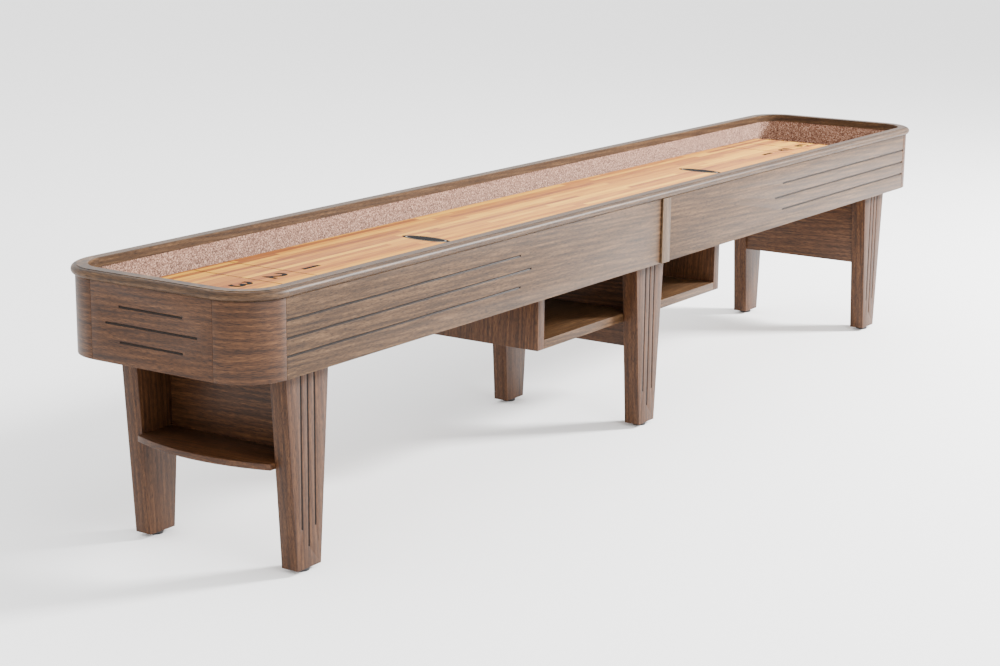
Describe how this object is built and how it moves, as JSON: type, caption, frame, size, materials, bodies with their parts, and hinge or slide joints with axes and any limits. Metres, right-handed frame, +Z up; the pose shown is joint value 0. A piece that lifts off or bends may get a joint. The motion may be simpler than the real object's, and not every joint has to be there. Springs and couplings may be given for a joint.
{
  "type": "shuffleboard table",
  "caption": "Long shuffleboard table: recessed playfield in a carpet-lined oak cabinet with rounded corners, on tapered levelling legs with storage shelves.",
  "frame": {"origin": "on the floor under the middle of the table", "axes": "+X along the table, +Y across it, +Z up"},
  "size_m": [4.2908, 0.7328, 0.834],
  "materials": {
    "oak": "satin stained, open grain",
    "maple": "gloss lacquer",
    "carpet": "speckled short pile",
    "plywood": "raw",
    "steel": "plain",
    "black_rubber": "matt"
  },
  "bodies": {
    "table": {"side_apron_front_left": "oak", "side_apron_front_right": "oak", "side_apron_back_left": "oak", "side_apron_back_right": "oak", "corner_post_front_left": "oak", "corner_post_front_right": "oak", "corner_post_back_left": "oak", "corner_post_back_right": "oak", "joint_batten_front": "oak", "joint_batten_back": "oak", "end_apron_left": "oak", "end_apron_right": "oak", "side_rail_front": "oak", "side_rail_back": "oak", "end_rail_left": "oak", "end_rail_right": "oak", "rail_corner_front_left": "oak", "rail_corner_front_right": "oak", "rail_corner_back_left": "oak", "rail_corner_back_right": "oak", "leg_front_left": "oak", "leg_front_middle": "oak", "leg_front_right": "oak", "leg_back_left": "oak", "leg_back_middle": "oak", "leg_back_right": "oak", "leg_panel_left": "oak", "leg_panel_middle": "oak", "leg_panel_right": "oak", "bow_shelf_left": "oak", "bow_shelf_right": "oak", "box_end_left": "oak", "box_end_right": "oak", "box_floor_left": "oak", "box_floor_right": "oak", "cabinet_floor_left": "plywood", "carpet_lining_left": "carpet", "adjuster_bar_left": "steel", "cabinet_floor_right": "plywood", "carpet_lining_right": "carpet", "adjuster_bar_right": "steel", "cradle_block_left": "plywood", "cradle_block_middle": "plywood", "cradle_block_right": "plywood", "playfield": "maple"},
    "foot_front_left": {"leveller_pad_front_left": "black_rubber", "leveller_stud_front_left": "steel"},
    "foot_front_middle": {"leveller_pad_front_middle": "black_rubber", "leveller_stud_front_middle": "steel"},
    "foot_front_right": {"leveller_pad_front_right": "black_rubber", "leveller_stud_front_right": "steel"},
    "foot_back_left": {"leveller_pad_back_left": "black_rubber", "leveller_stud_back_left": "steel"},
    "foot_back_middle": {"leveller_pad_back_middle": "black_rubber", "leveller_stud_back_middle": "steel"},
    "foot_back_right": {"leveller_pad_back_right": "black_rubber", "leveller_stud_back_right": "steel"},
    "rod_left": {"adjuster_rod_left": "steel"},
    "rod_right": {"adjuster_rod_right": "steel"}
  },
  "joints": [
    {"name": "level_front_left", "type": "slide", "parent": "table", "child": "foot_front_left", "axis": [0, 0, -1], "range_m": [0, 0.02]},
    {"name": "level_front_middle", "type": "slide", "parent": "table", "child": "foot_front_middle", "axis": [0, 0, -1], "range_m": [0, 0.02]},
    {"name": "level_front_right", "type": "slide", "parent": "table", "child": "foot_front_right", "axis": [0, 0, -1], "range_m": [0, 0.02]},
    {"name": "level_back_left", "type": "slide", "parent": "table", "child": "foot_back_left", "axis": [0, 0, -1], "range_m": [0, 0.02]},
    {"name": "level_back_middle", "type": "slide", "parent": "table", "child": "foot_back_middle", "axis": [0, 0, -1], "range_m": [0, 0.02]},
    {"name": "level_back_right", "type": "slide", "parent": "table", "child": "foot_back_right", "axis": [0, 0, -1], "range_m": [0, 0.02]},
    {"name": "adjust_left", "type": "hinge", "parent": "table", "child": "rod_left", "pos_m": [-0.65, 0, 0.6767], "axis": [0, 1, 0], "continuous": true},
    {"name": "adjust_right", "type": "hinge", "parent": "table", "child": "rod_right", "pos_m": [0.65, 0, 0.6767], "axis": [0, 1, 0], "continuous": true}
  ]
}
